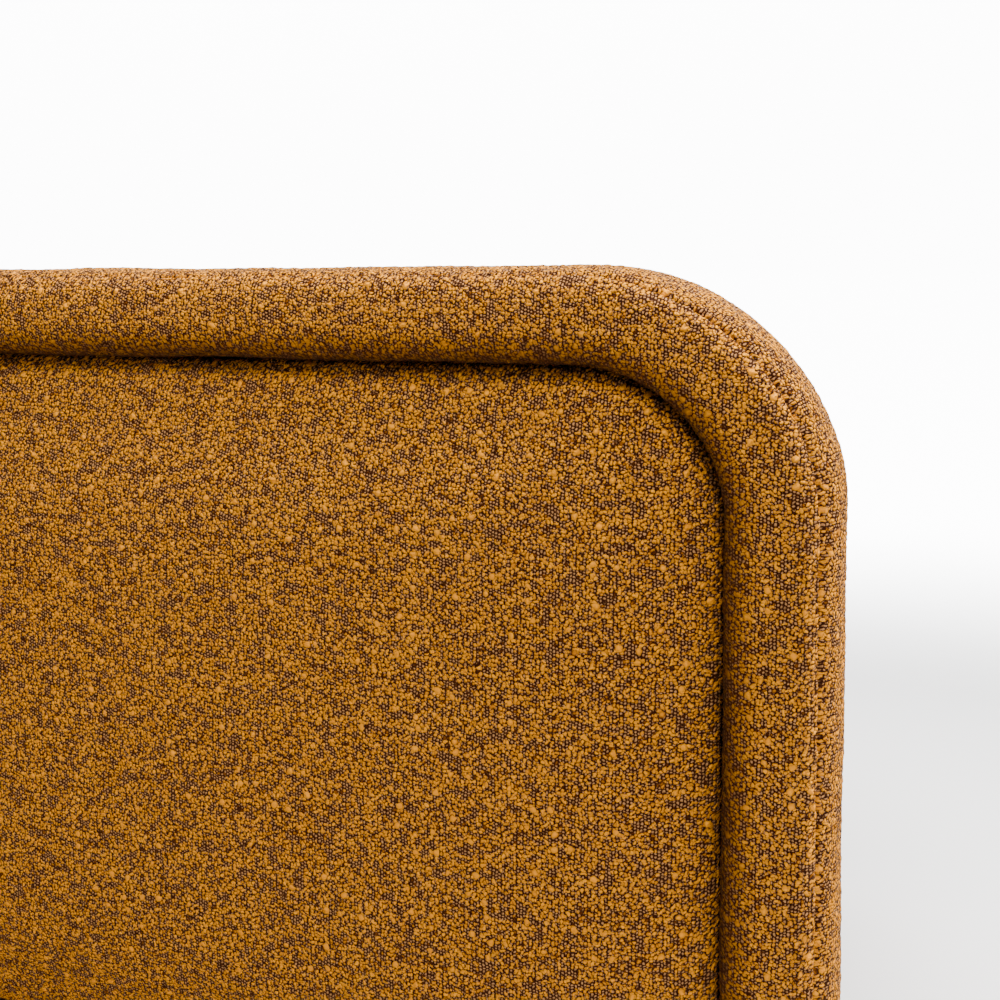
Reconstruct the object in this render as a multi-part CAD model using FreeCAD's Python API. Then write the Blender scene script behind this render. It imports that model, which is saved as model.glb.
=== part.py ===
import FreeCAD, Part
import math
import os

# An upholstered ottoman with a storage box under a hinged, gas-strut lid.
# Millimetres. X is the width, Y the depth with the front towards -Y, Z is up.
# Z = 0 is the floor and the origin is the middle of the footprint.

V = FreeCAD.Vector

# --- overall sizes -----------------------------------------------------------
WIDTH = 940.0            # over the front panel's covering
DEPTH = 460.0            # front roll to hinge knuckles
HEIGHT = 450.0           # floor to the crest of the front panel
FRONT_Y = -DEPTH / 2
REAR_Y = DEPTH / 2

# --- front panel -------------------------------------------------------------
PANEL_T = 75.0           # thickness of the upright front panel
PANEL_BACK_Y = FRONT_Y + PANEL_T
PANEL_BOTTOM = 32.0
CORNER_TOP_R = 110.0     # outer radius of the two upper corners
CORNER_LOW_R = 60.0
ROLL_W = 39.0            # width of the border roll, seam to seam
GUSSET_T = 8.0           # covering band with its wadding, around the edge
SEAM_SETBACK = 9.0       # front seam of the gusset behind the roll's crest
FRAME_BOARD_T = 15.0
PAD_BOARD_T = 12.0
BACK_CLOTH_T = 2.0

# --- box ---------------------------------------------------------------------
BODY_HALF = 450.0        # outside of the side covering
COVER_T = 6.0
PLY = 15.0
SPLIT_Z = 335.0          # top edge of the box
BODY_BOTTOM = 34.0
REAR_COVER_Y = 218.0
RAIL_H = 30.0
RAIL_W = 40.0
FLOOR_T = 12.0
POST = 32.0
LINER_T = 1.0

# --- lid ---------------------------------------------------------------------
LID_GAP = 4.0
LID_FRONT_Y = PANEL_BACK_Y + LID_GAP
LID_UNDER = SPLIT_Z + 4.0
LID_TOP = 434.0
LID_END_R = 130.0         # large round ends, as on the front panel
LID_BOARD_T = 15.0

# --- hinges ------------------------------------------------------------------
AXIS_Y = 225.0
AXIS_Z = SPLIT_Z + 2.0
KNUCKLE_R = 5.0
PIN_R = 2.5
HINGE_X = 300.0
HINGE_L = 70.0
LEAF_T = 1.8
LID_OPEN_DEG = 80.0

# --- gas struts --------------------------------------------------------------
STRUT_X = 414.0
STUD_BASE = (115.0, 150.0)               # y, z of the lower stud
STUD_LID = (AXIS_Y - 70.0, AXIS_Z - 22.0)
STRUT_R = 8.0
EAR_IN = 419.6            # the lid bracket's ear, beside the rod's eye
EAR_OUT = 421.6
ROD_R = 4.0
PLATE_X = 404.0           # screws of the lid's strut plates

# --- feet --------------------------------------------------------------------
FOOT_X = 394.0
FOOT_FRONT_Y = -133.0
FOOT_REAR_Y = 176.0
FOOT_TOP_R = 26.0
FOOT_LOW_R = 20.0
GLIDE_T = 4.0


def box(x0, x1, y0, y1, z0, z1):
    """Box between two corners."""
    return Part.makeBox(x1 - x0, y1 - y0, z1 - z0, V(x0, y0, z0))


def rod_along(p, direction, radius, length):
    """Cylinder from a point along a direction."""
    return Part.makeCylinder(radius, length, V(*p), V(*direction))


def outline_prism(half, z0, z1, r_top, r_low, y0, y1):
    """Upright slab with rounded corners, extruded along Y."""
    h = math.sqrt(0.5)
    corners = [
        (half - r_low, z0 + r_low, r_low, 1, -1),
        (half - r_top, z1 - r_top, r_top, 1, 1),
        (-half + r_top, z1 - r_top, r_top, -1, 1),
        (-half + r_low, z0 + r_low, r_low, -1, -1),
    ]
    edges = []
    ends = []
    for cx, cz, r, sx, sz in corners:
        side = V(cx + sx * r, y0, cz)
        mid = V(cx + sx * r * h, y0, cz + sz * r * h)
        flat = V(cx, y0, cz + sz * r)
        if sx * sz < 0:
            a, b = flat, side
        else:
            a, b = side, flat
        edges.append(Part.Arc(a, mid, b).toShape())
        ends.append((a, b))
    loop = []
    for i in range(4):
        loop.append(edges[i])
        start = ends[i][1]
        stop = ends[(i + 1) % 4][0]
        loop.append(Part.LineSegment(start, stop).toShape())
    face = Part.Face(Part.Wire(loop))
    return face.extrude(V(0, y1 - y0, 0))


def panel_slab(inset, y0, y1):
    """Slab of the front panel's outline, moved in by an inset."""
    return outline_prism(
        WIDTH / 2 - inset,
        PANEL_BOTTOM + inset,
        HEIGHT - inset,
        CORNER_TOP_R - inset,
        CORNER_LOW_R - inset,
        y0,
        y1,
    )


def edges_at_y(shape, y, keep=None):
    """Edges that lie wholly at one depth."""
    found = []
    for e in shape.Edges:
        b = e.BoundBox
        if abs(b.YMin - y) < 1e-4 and abs(b.YMax - y) < 1e-4:
            if keep is None or keep(e):
                found.append(e)
    return found


def save(name, shape):
    """Write one node."""
    shape.exportStep("parts/" + name + ".step")


def mirrored(shape):
    """The same piece on the other side."""
    return shape.mirror(V(0, 0, 0), V(1, 0, 0))


# --- front panel -------------------------------------------------------------
def front_gusset():
    """Band around the panel's edge, softly rounded."""
    front = FRONT_Y + SEAM_SETBACK
    outer = panel_slab(0.0, front, PANEL_BACK_Y)
    rim = edges_at_y(outer, front) + edges_at_y(outer, PANEL_BACK_Y)
    outer = outer.makeFillet(6.0, rim)
    return outer.cut(panel_slab(GUSSET_T, front - 1, PANEL_BACK_Y + 1))


def front_border_roll():
    """Foam roll around the front face, with its covering."""
    ring = panel_slab(GUSSET_T, FRONT_Y, pad_board_back())
    ring = ring.makeFillet(12.0, edges_at_y(ring, FRONT_Y))
    hole = panel_slab(GUSSET_T + ROLL_W, FRONT_Y - 1, pad_board_back() + 1)
    ring = ring.cut(hole)
    limit = WIDTH / 2 - GUSSET_T - ROLL_W + 1

    def inner(e):
        b = e.BoundBox
        return max(abs(b.XMin), abs(b.XMax)) < limit and b.ZMax < HEIGHT - 40

    return ring.makeFillet(14.0, edges_at_y(ring, FRONT_Y, inner))


def pad_board_back():
    return PANEL_BACK_Y - BACK_CLOTH_T - FRAME_BOARD_T


def front_pad_board():
    """Board that carries the inset pad."""
    back = pad_board_back()
    return panel_slab(GUSSET_T + ROLL_W, back - PAD_BOARD_T, back)


def front_pad():
    """Crowned inset pad of the front face."""
    back = pad_board_back() - PAD_BOARD_T
    pad = panel_slab(GUSSET_T + ROLL_W, FRONT_Y, back)
    return pad.makeFillet(18.0, edges_at_y(pad, FRONT_Y))


def bolt_places():
    """Centres of the six bolts that hold the front panel on."""
    x = BODY_HALF - COVER_T - PLY - POST / 2
    return [(sx * x, z) for sx in (-1, 1) for z in (110.0, 200.0, 290.0)]


def bolt_holes(radius, y0, y1):
    """Bolt clearance cylinders joined into one tool."""
    tools = []
    for x, z in bolt_places():
        tools.append(rod_along((x, y0, z), (0, 1, 0), radius, y1 - y0))
    return tools


def front_frame_board():
    """Structural board at the back of the front panel."""
    back = PANEL_BACK_Y - BACK_CLOTH_T
    board = panel_slab(GUSSET_T, back - FRAME_BOARD_T, back)
    return board.cut(bolt_holes(3.0, back - 12.0, back + 1))


def front_back_cloth():
    """Cloth over the back of the panel."""
    back = PANEL_BACK_Y
    cloth = panel_slab(GUSSET_T, back - BACK_CLOTH_T, back)
    return cloth.cut(bolt_holes(3.0, back - 5, back + 1))


def panel_bolts():
    """Bolts through the front posts into the panel."""
    solids = []
    head_y = PANEL_BACK_Y + 2.0 + POST
    for x, z in bolt_places():
        shank = rod_along((x, PANEL_BACK_Y - BACK_CLOTH_T - 12.0, z), (0, 1, 0), 3.0, POST + 16.0)
        washer = rod_along((x, head_y, z), (0, 1, 0), 8.0, 1.6)
        head = rod_along((x, head_y + 1.6, z), (0, 1, 0), 5.0, 5.0)
        hexagon = rod_along((x, head_y + 4.0, z), (0, 1, 0), 2.4, 4.0)
        solids.append(shank.fuse([washer, head]).removeSplitter().cut(hexagon))
    return Part.makeCompound(solids)


# --- box ---------------------------------------------------------------------
BOARD_OUT = BODY_HALF - COVER_T
BOARD_IN = BOARD_OUT - PLY
REAR_OUT = REAR_COVER_Y - COVER_T
REAR_IN = REAR_OUT - PLY
FLOOR_Z = PANEL_BOTTOM + RAIL_H
FLOOR_TOP = FLOOR_Z + FLOOR_T


def side_panel():
    """Right-hand side board."""
    board = box(BOARD_IN, BOARD_OUT, PANEL_BACK_Y, REAR_OUT, BODY_BOTTOM, SPLIT_Z)
    return board


def side_cover():
    """Right-hand upholstered side, wadding and cloth."""
    cover = box(BOARD_OUT, BODY_HALF, PANEL_BACK_Y, REAR_COVER_Y, BODY_BOTTOM, SPLIT_Z)
    corner = [
        e for e in cover.Edges
        if abs(e.BoundBox.YMin - REAR_COVER_Y) < 1e-4
        and abs(e.BoundBox.XMin - BODY_HALF) < 1e-4
        and e.BoundBox.XLength < 1e-4
        and e.BoundBox.YLength < 1e-4
    ]
    return cover.makeFillet(5.0, corner)


def rear_panel():
    """Rear board between the sides."""
    board = box(-BOARD_IN, BOARD_IN, REAR_IN, REAR_OUT, BODY_BOTTOM, SPLIT_Z)
    return board.cut(hinge_screw_tools())


def rear_cover():
    """Upholstered back of the box."""
    return box(-BOARD_OUT, BOARD_OUT, REAR_OUT, REAR_COVER_Y, BODY_BOTTOM, SPLIT_Z)


def corner_posts():
    """Four posts inside the corners."""
    y0 = PANEL_BACK_Y
    solids = []
    front = box(BOARD_IN - POST, BOARD_IN, y0, y0 + POST + 2.0, FLOOR_TOP, 322.0)
    front = front.cut(bolt_holes(3.0, y0 - 1, y0 + POST + 3.0))
    rear = box(BOARD_IN - POST, BOARD_IN, REAR_IN - 22.0, REAR_IN, FLOOR_TOP, 322.0)
    for piece in (front, rear):
        solids.append(piece)
        solids.append(mirrored(piece))
    return Part.makeCompound(solids)


def foot_spots():
    return [
        ("front_left", -FOOT_X, FOOT_FRONT_Y),
        ("front_right", FOOT_X, FOOT_FRONT_Y),
        ("rear_left", -FOOT_X, FOOT_REAR_Y),
        ("rear_right", FOOT_X, FOOT_REAR_Y),
    ]


def foot_bolt_tools():
    """Threaded bolts that hold the feet to the rails."""
    tools = []
    for _, x, y in foot_spots():
        tools.append(rod_along((x, y, 14.0), (0, 0, 1), 4.0, 34.0))
    return tools


def base_rails():
    """Long rails under the floor."""
    front = box(-BOARD_IN, BOARD_IN, PANEL_BACK_Y, PANEL_BACK_Y + RAIL_W + 4, PANEL_BOTTOM, FLOOR_Z)
    rear = box(-BOARD_IN, BOARD_IN, REAR_IN - RAIL_W - 4, REAR_IN, PANEL_BOTTOM, FLOOR_Z)
    holes = foot_bolt_tools()
    return Part.makeCompound([front.cut(holes), rear.cut(holes)])


def cross_battens():
    """Battens between the long rails."""
    y0 = PANEL_BACK_Y + RAIL_W + 4
    y1 = REAR_IN - RAIL_W - 4
    solids = []
    for x in (-BOARD_IN + RAIL_W / 2, 0.0, BOARD_IN - RAIL_W / 2):
        solids.append(box(x - RAIL_W / 2, x + RAIL_W / 2, y0, y1, PANEL_BOTTOM, FLOOR_Z))
    return Part.makeCompound(solids)


def bottom_panel():
    """Floor of the storage box."""
    return box(-BOARD_IN, BOARD_IN, PANEL_BACK_Y, REAR_IN, FLOOR_Z, FLOOR_TOP)


def dust_cover():
    """Thin cloth under the frame, cut out around the feet."""
    y0 = PANEL_BACK_Y + 4
    cloth = box(-BOARD_IN + 4, BOARD_IN - 4, y0, REAR_IN - 4, PANEL_BOTTOM - 1, PANEL_BOTTOM)
    for _, x, y in foot_spots():
        cloth = cloth.cut(rod_along((x, y, PANEL_BOTTOM - 2), (0, 0, 1), FOOT_TOP_R + 1, 4.0))
    return cloth


def foot(x, y):
    """Turned foot, bored for its bolt and its glide."""
    body = Part.makeCone(FOOT_LOW_R, FOOT_TOP_R, PANEL_BOTTOM - GLIDE_T, V(x, y, GLIDE_T))
    low = [e for e in body.Edges if abs(e.BoundBox.ZMax - GLIDE_T) < 1e-4]
    body = body.makeFillet(1.5, low)
    body = body.cut(rod_along((x, y, 14.0), (0, 0, 1), 4.0, 30.0))
    return body.cut(rod_along((x, y, GLIDE_T - 1), (0, 0, 1), 3.0, 7.0))


def foot_glides():
    """Felt-faced glides pressed into the feet."""
    solids = []
    for _, x, y in foot_spots():
        disc = rod_along((x, y, 0.0), (0, 0, 1), 16.0, GLIDE_T)
        disc = disc.makeFillet(1.0, [e for e in disc.Edges if e.BoundBox.ZMax < 0.1])
        stem = rod_along((x, y, GLIDE_T), (0, 0, 1), 3.0, 6.0)
        solids.append(disc.fuse(stem).removeSplitter())
    return Part.makeCompound(solids)


def storage_liner():
    """Thin cloth on the floor and the four walls of the box."""
    t = LINER_T
    y0 = PANEL_BACK_Y
    y1 = REAR_IN
    post_y0 = y0 + POST + 2.0
    post_y1 = y1 - 22.0
    inner = BOARD_IN - POST
    floor = box(-BOARD_IN, BOARD_IN, post_y0, post_y1, FLOOR_TOP, FLOOR_TOP + t)
    sheets = [
        box(-inner, inner, y0, post_y0, FLOOR_TOP, FLOOR_TOP + t),
        box(-inner, inner, post_y1, y1, FLOOR_TOP, FLOOR_TOP + t),
        box(-inner, inner, y0, y0 + t, FLOOR_TOP, 330.0),
        box(-inner, inner, y1 - t, y1, FLOOR_TOP, 330.0),
        box(-BOARD_IN, -BOARD_IN + t, post_y0, post_y1, FLOOR_TOP, 330.0),
        box(BOARD_IN - t, BOARD_IN, post_y0, post_y1, FLOOR_TOP, 330.0),
    ]
    return floor.fuse(sheets).removeSplitter()


def lid_bumpers():
    """Rubber buffers on top of the side boards."""
    solids = []
    x = (BOARD_IN + BOARD_OUT) / 2
    for sx in (-1, 1):
        for y in (-120.0, 150.0):
            disc = rod_along((sx * x, y, SPLIT_Z), (0, 0, 1), 6.0, LID_UNDER - SPLIT_Z)
            rim = [e for e in disc.Edges if e.BoundBox.ZMin > LID_UNDER - 0.1]
            solids.append(disc.makeFillet(1.0, rim))
    return Part.makeCompound(solids)


# --- hinges ------------------------------------------------------------------
def screw_tool(x, y, z, down):
    """Countersunk screw with its head flush at z."""
    s = -1 if down else 1
    head = Part.makeCone(3.4, 1.7, 1.7, V(x, y, z), V(0, 0, s))
    shank = rod_along((x, y, z + s * 1.7), (0, 0, s), 1.7, 12.0)
    return head.fuse(shank).removeSplitter()


def screw_spots(cx):
    return [cx - 24.0, cx, cx + 24.0]


def hinge_screw_tools():
    """Screws of the two base leaves."""
    tools = []
    for cx in (-HINGE_X, HINGE_X):
        for x in screw_spots(cx):
            tools.append(screw_tool(x, 204.5, SPLIT_Z + LEAF_T, True))
    return tools


def lid_screw_tools():
    """Screws of the two lid leaves."""
    tools = []
    for cx in (-HINGE_X, HINGE_X):
        for x in screw_spots(cx):
            tools.append(screw_tool(x, 204.0, LID_UNDER - LEAF_T, False))
    return tools


def knuckle_spans(cx):
    """X spans of the base knuckles and of the lid knuckle."""
    a = cx - HINGE_L / 2
    base = [(a, a + 22.8), (a + 47.2, a + 70.0)]
    lid = [(a + 23.2, a + 46.8)]
    return base, lid


def leaf(cx, spans, z0):
    """One leaf with its knuckles, before it is bored."""
    a = cx - HINGE_L / 2
    plate = box(a, a + HINGE_L, 198.0, AXIS_Y - KNUCKLE_R - 0.5, z0, z0 + LEAF_T)
    solids = []
    for x0, x1 in spans:
        solids.append(box(x0, x1, 210.0, AXIS_Y, z0, z0 + LEAF_T))
        solids.append(rod_along((x0, AXIS_Y, AXIS_Z), (1, 0, 0), KNUCKLE_R, x1 - x0))
    return plate.fuse(solids).removeSplitter()


def base_leaf(cx):
    """Leaf on the rear board's top edge."""
    spans, _ = knuckle_spans(cx)
    whole = leaf(cx, spans, SPLIT_Z)
    whole = whole.cut(rod_along((cx - 60, AXIS_Y, AXIS_Z), (1, 0, 0), PIN_R, 120.0))
    return whole.cut(hinge_screw_tools())


def lid_leaf(cx):
    """Leaf under the lid board."""
    _, spans = knuckle_spans(cx)
    whole = leaf(cx, spans, LID_UNDER - LEAF_T)
    whole = whole.cut(rod_along((cx - 60, AXIS_Y, AXIS_Z), (1, 0, 0), PIN_R + 0.05, 120.0))
    return whole.cut(lid_screw_tools())


def hinge_pin(cx):
    """Pin held in the base knuckles, with a rounded head at each end."""
    a = cx - HINGE_L / 2
    pin = rod_along((a, AXIS_Y, AXIS_Z), (1, 0, 0), PIN_R, HINGE_L)
    caps = [
        rod_along((a - 1.5, AXIS_Y, AXIS_Z), (1, 0, 0), 3.6, 1.5),
        rod_along((a + HINGE_L, AXIS_Y, AXIS_Z), (1, 0, 0), 3.6, 1.5),
    ]
    return pin.fuse(caps).removeSplitter()


# --- lid ---------------------------------------------------------------------
LID_BOARD_HALF = 434.0


def lid_board():
    """Stiff board inside the lid."""
    y0 = LID_FRONT_Y + 6.0
    board = box(-LID_BOARD_HALF, LID_BOARD_HALF, y0, REAR_OUT, LID_UNDER, LID_UNDER + LID_BOARD_T)
    return board.cut(lid_screw_tools())


def lid_cushion():
    """Foam top with its covering, rounded over at both ends."""
    z1 = LID_TOP
    r = LID_END_R
    cx = BODY_HALF - r
    cz = z1 - r
    y = LID_FRONT_Y
    foot_turn = math.asin((LID_UNDER - cz) / r)
    mid_turn = (foot_turn + math.pi / 2) / 2

    def rim_point(side, turn):
        return V(side * (cx + r * math.cos(turn)), y, cz + r * math.sin(turn))

    low_r, mid_r, top_r = (rim_point(1, t) for t in (foot_turn, mid_turn, math.pi / 2))
    low_l, mid_l, top_l = (rim_point(-1, t) for t in (foot_turn, mid_turn, math.pi / 2))
    wire = Part.Wire([
        Part.Arc(low_r, mid_r, top_r).toShape(),
        Part.LineSegment(top_r, top_l).toShape(),
        Part.Arc(top_l, mid_l, low_l).toShape(),
        Part.LineSegment(low_l, low_r).toShape(),
    ])
    body = Part.Face(wire).extrude(V(0, REAR_COVER_Y - LID_FRONT_Y, 0))

    def upper(e):
        return e.BoundBox.ZMax > LID_UNDER + 1

    rims = edges_at_y(body, LID_FRONT_Y, upper) + edges_at_y(body, REAR_COVER_Y, upper)
    body = body.makeFillet(14.0, rims)
    y0 = LID_FRONT_Y + 6.0
    core = box(-LID_BOARD_HALF, LID_BOARD_HALF, y0, REAR_OUT, LID_UNDER - 1, LID_UNDER + LID_BOARD_T)
    return body.cut(core)


def strut_plate(s):
    """Bracket plate of the lid stud, s is the side."""
    y, _ = STUD_LID
    x0, x1 = sorted((s * (PLATE_X - 11.0), s * EAR_OUT))
    return box(x0, x1, y - 20, y + 20, LID_UNDER - 2.0, LID_UNDER)


def lid_lining():
    """Cloth under the lid board, cut out around the metalwork."""
    y0 = LID_FRONT_Y + 10.0
    cloth = box(-424.0, 424.0, y0, 192.0, LID_UNDER - 1.0, LID_UNDER)
    for s in (-1, 1):
        y, _ = STUD_LID
        x0, x1 = sorted((s * (PLATE_X - 12.0), s * 425.0))
        cloth = cloth.cut(box(x0, x1, y - 21, y + 21, LID_UNDER - 2.0, LID_UNDER + 1))
    return cloth


def pull_tab():
    """Folded loop of cloth sewn to the lid's front edge, lying on top."""
    y0 = LID_FRONT_Y + 14.0
    z = LID_TOP
    lower = box(-19.0, 19.0, y0, y0 + 62.0, z, z + 2.2)
    upper = box(-19.0, 19.0, y0, y0 + 62.0, z + 2.6, z + 4.8)
    fold = box(-19.0, 19.0, y0 + 59.8, y0 + 62.0, z, z + 4.8)
    stitched = box(-19.0, 19.0, y0, y0 + 12.0, z, z + 4.8)
    return lower.fuse([upper, fold, stitched]).removeSplitter()


# --- gas struts --------------------------------------------------------------
STRUT_DY = STUD_LID[0] - STUD_BASE[0]
STRUT_DZ = STUD_LID[1] - STUD_BASE[1]
STRUT_LEN = math.hypot(STRUT_DY, STRUT_DZ)
STRUT_DIR = (0.0, STRUT_DY / STRUT_LEN, STRUT_DZ / STRUT_LEN)


def on_strut(distance):
    """Point on the right-hand strut's centre line."""
    y, z = STUD_BASE
    return (STRUT_X, y + STRUT_DIR[1] * distance, z + STRUT_DIR[2] * distance)


def strut_bracket_base():
    """Plate on the side board with its stud."""
    y, z = STUD_BASE
    wall = BOARD_IN - LINER_T
    plate = box(wall - 2.0, wall, y - 14, y + 14, z - 22, z + 22)
    upright = [e for e in plate.Edges if e.BoundBox.XLength > 1.9]
    plate = plate.makeFillet(5.0, upright)
    boss = rod_along((STRUT_X + 4.5, y, z), (1, 0, 0), 5.0, wall - 2.0 - STRUT_X - 4.5)
    stud = rod_along((STRUT_X - 5.0, y, z), (1, 0, 0), 3.0, 12.0)
    head = rod_along((STRUT_X - 6.5, y, z), (1, 0, 0), 4.6, 2.0)
    whole = plate.fuse([boss, stud, head]).removeSplitter()
    for dz in (-15.0, 15.0):
        whole = whole.cut(rod_along((wall - 3.0, y, z + dz), (1, 0, 0), 2.1, 4.0))
    return whole


def strut_bracket_lid():
    """Plate under the lid with a hanging ear and its stud's head."""
    y, z = STUD_LID
    plate = strut_plate(1)
    ear = box(EAR_IN, EAR_OUT, y - 9, y + 9, z, LID_UNDER)
    round_end = rod_along((EAR_IN, y, z), (1, 0, 0), 9.0, EAR_OUT - EAR_IN)
    rivet = rod_along((EAR_OUT, y, z), (1, 0, 0), 4.5, 1.4)
    whole = plate.fuse([ear, round_end, rivet]).removeSplitter()
    for dy in (-14.0, 14.0):
        whole = whole.cut(rod_along((PLATE_X, y + dy, LID_UNDER - 3), (0, 0, 1), 2.1, 4.0))
    return whole


def bracket_screws_base():
    """Screws of both lower strut plates."""
    y, z = STUD_BASE
    wall = BOARD_IN - LINER_T
    solids = []
    for dz in (-15.0, 15.0):
        head = rod_along((wall - 4.0, y, z + dz), (1, 0, 0), 3.8, 2.0)
        shank = rod_along((wall - 2.0, y, z + dz), (1, 0, 0), 2.1, 13.0)
        solids.append(head.fuse(shank).removeSplitter())
    return Part.makeCompound(solids + [mirrored(s) for s in solids])


def bracket_screws_lid():
    """Screws of both upper strut plates."""
    y, _ = STUD_LID
    solids = []
    for dy in (-14.0, 14.0):
        head = rod_along((PLATE_X, y + dy, LID_UNDER - 4.0), (0, 0, 1), 3.8, 2.0)
        shank = rod_along((PLATE_X, y + dy, LID_UNDER - 2.0), (0, 0, 1), 2.1, 13.0)
        solids.append(head.fuse(shank).removeSplitter())
    return Part.makeCompound(solids + [mirrored(s) for s in solids])


def strut_cylinder():
    """Lower tube with its eye and its gland."""
    tube = rod_along(on_strut(13.0), STRUT_DIR, STRUT_R, 129.0)
    rims = [e for e in tube.Edges if e.Length < 2 * math.pi * STRUT_R + 1 and e.Length > 40]
    tube = tube.makeFillet(1.2, rims)
    neck = rod_along(on_strut(4.0), STRUT_DIR, 3.9, 12.0)
    eye = rod_along((STRUT_X - 4.0, STUD_BASE[0], STUD_BASE[1]), (1, 0, 0), 7.5, 8.0)
    whole = tube.fuse([neck, eye]).removeSplitter()
    whole = whole.cut(rod_along(on_strut(22.0), STRUT_DIR, 6.5, 116.0))
    whole = whole.cut(rod_along(on_strut(130.0), STRUT_DIR, ROD_R + 0.05, 20.0))
    return whole.cut(rod_along((STRUT_X - 8, STUD_BASE[0], STUD_BASE[1]), (1, 0, 0), 3.05, 16.0))


def strut_rod():
    """Piston rod with its piston."""
    shaft = rod_along(on_strut(34.0), STRUT_DIR, ROD_R, STRUT_LEN - 34.0 - 10.0)
    piston = rod_along(on_strut(34.0), STRUT_DIR, 6.35, 8.0)
    return shaft.fuse(piston).removeSplitter()


def strut_end_fitting():
    """Eye on the rod's tip, closed by its own pin."""
    y, z = STUD_LID
    eye = rod_along((STRUT_X - 4.0, y, z), (1, 0, 0), 7.5, 8.0)
    ferrule = rod_along(on_strut(STRUT_LEN - 16.0), STRUT_DIR, 4.9, 11.0)
    whole = eye.fuse(ferrule).removeSplitter()
    return whole.cut(rod_along(on_strut(STRUT_LEN - 18.0), STRUT_DIR, ROD_R, 8.0))


def lid_hole_tools():
    return [
        rod_along((s * PLATE_X, STUD_LID[0] + dy, LID_UNDER - 1), (0, 0, 1), 2.1, 12.0)
        for s in (-1, 1) for dy in (-14.0, 14.0)
    ]


def wall_hole_tools():
    y, z = STUD_BASE
    wall = BOARD_IN - LINER_T
    return [rod_along((wall - 1, y, z + dz), (1, 0, 0), 2.1, 12.0) for dz in (-15.0, 15.0)]


def main():
    os.makedirs("parts", exist_ok=True)
    wall_holes = wall_hole_tools()
    side = side_panel().cut(wall_holes)
    liner = storage_liner().cut(wall_holes + [mirrored(t) for t in wall_holes])
    nodes = {
        "front_gusset": front_gusset(),
        "front_border_roll": front_border_roll(),
        "front_pad": front_pad(),
        "front_pad_board": front_pad_board(),
        "front_frame_board": front_frame_board(),
        "front_back_cloth": front_back_cloth(),
        "panel_bolts": panel_bolts(),
        "side_panel_right": side,
        "side_panel_left": mirrored(side),
        "side_cover_right": side_cover(),
        "side_cover_left": mirrored(side_cover()),
        "rear_panel": rear_panel(),
        "rear_cover": rear_cover(),
        "corner_posts": corner_posts(),
        "base_rails": base_rails(),
        "cross_battens": cross_battens(),
        "bottom_panel": bottom_panel(),
        "dust_cover": dust_cover(),
        "storage_liner": liner,
        "foot_glides": foot_glides(),
        "foot_bolts": Part.makeCompound(foot_bolt_tools()),
        "lid_bumpers": lid_bumpers(),
        "hinge_screws_base": Part.makeCompound(hinge_screw_tools()),
        "hinge_screws_lid": Part.makeCompound(lid_screw_tools()),
        "lid_board": lid_board().cut(lid_hole_tools()),
        "lid_cushion": lid_cushion(),
        "lid_lining": lid_lining(),
        "pull_tab": pull_tab(),
        "bracket_screws_base": bracket_screws_base(),
        "bracket_screws_lid": bracket_screws_lid(),
    }
    for spot, x, y in foot_spots():
        nodes["foot_" + spot] = foot(x, y)
    for side_name, cx in (("left", -HINGE_X), ("right", HINGE_X)):
        nodes["hinge_leaf_base_" + side_name] = base_leaf(cx)
        nodes["hinge_leaf_lid_" + side_name] = lid_leaf(cx)
        nodes["hinge_pin_" + side_name] = hinge_pin(cx)
    for name, maker in (
        ("strut_bracket_base", strut_bracket_base),
        ("strut_bracket_lid", strut_bracket_lid),
        ("strut_cylinder", strut_cylinder),
        ("strut_rod", strut_rod),
        ("strut_end_fitting", strut_end_fitting),
    ):
        nodes[name + "_right"] = maker()
        nodes[name + "_left"] = mirrored(maker())
    for name, shape in nodes.items():
        save(name, shape)
        b = shape.BoundBox
        print(
            name, len(shape.Solids), shape.isValid(),
            "%.1f %.1f %.1f %.1f %.1f %.1f" % (b.XMin, b.XMax, b.YMin, b.YMax, b.ZMin, b.ZMax),
        )
    print("strut length", STRUT_LEN, "angle", math.degrees(math.atan2(STRUT_DZ, STRUT_DY)))


main()
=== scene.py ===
# %% [markdown]
# # A storage ottoman in bouclé
# The ottoman is a plywood box with a tall padded front and a cushioned lid.
# The hard parts come ready as the frame, so this lesson makes the cloth-covered
# pieces that lie over them, and then every finish, the light and the camera.
# The frame is loaded first and never moved, so that each new piece can be
# placed from its sizes.

# %% Load the frame
import math
import bpy
import bmesh
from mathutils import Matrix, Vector


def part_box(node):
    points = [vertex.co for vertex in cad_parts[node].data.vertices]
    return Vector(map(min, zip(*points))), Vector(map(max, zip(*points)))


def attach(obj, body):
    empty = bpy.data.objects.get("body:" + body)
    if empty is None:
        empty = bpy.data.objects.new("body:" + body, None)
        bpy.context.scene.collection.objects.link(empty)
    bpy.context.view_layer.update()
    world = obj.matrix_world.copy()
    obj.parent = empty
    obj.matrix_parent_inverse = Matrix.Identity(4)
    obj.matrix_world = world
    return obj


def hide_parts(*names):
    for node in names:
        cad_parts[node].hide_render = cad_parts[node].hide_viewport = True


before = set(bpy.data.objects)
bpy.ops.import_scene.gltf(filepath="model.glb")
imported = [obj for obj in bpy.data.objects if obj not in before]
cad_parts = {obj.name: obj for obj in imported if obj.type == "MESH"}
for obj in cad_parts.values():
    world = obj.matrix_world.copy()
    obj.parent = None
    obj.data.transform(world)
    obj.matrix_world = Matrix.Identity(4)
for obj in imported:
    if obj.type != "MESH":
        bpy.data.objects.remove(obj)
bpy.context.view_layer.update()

scene = bpy.context.scene

# %% [markdown]
# ## Small helpers
# Modelling by hand in Blender is a primitive, a selection and an operator, again
# and again. These helpers do the dull part: they clear the selection first,
# because an operator acts on everything that is selected, and they pick faces
# and edges by where they are, as a hand would with the mouse.

# %% Helpers for picking and shaping
MM = 0.001


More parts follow.
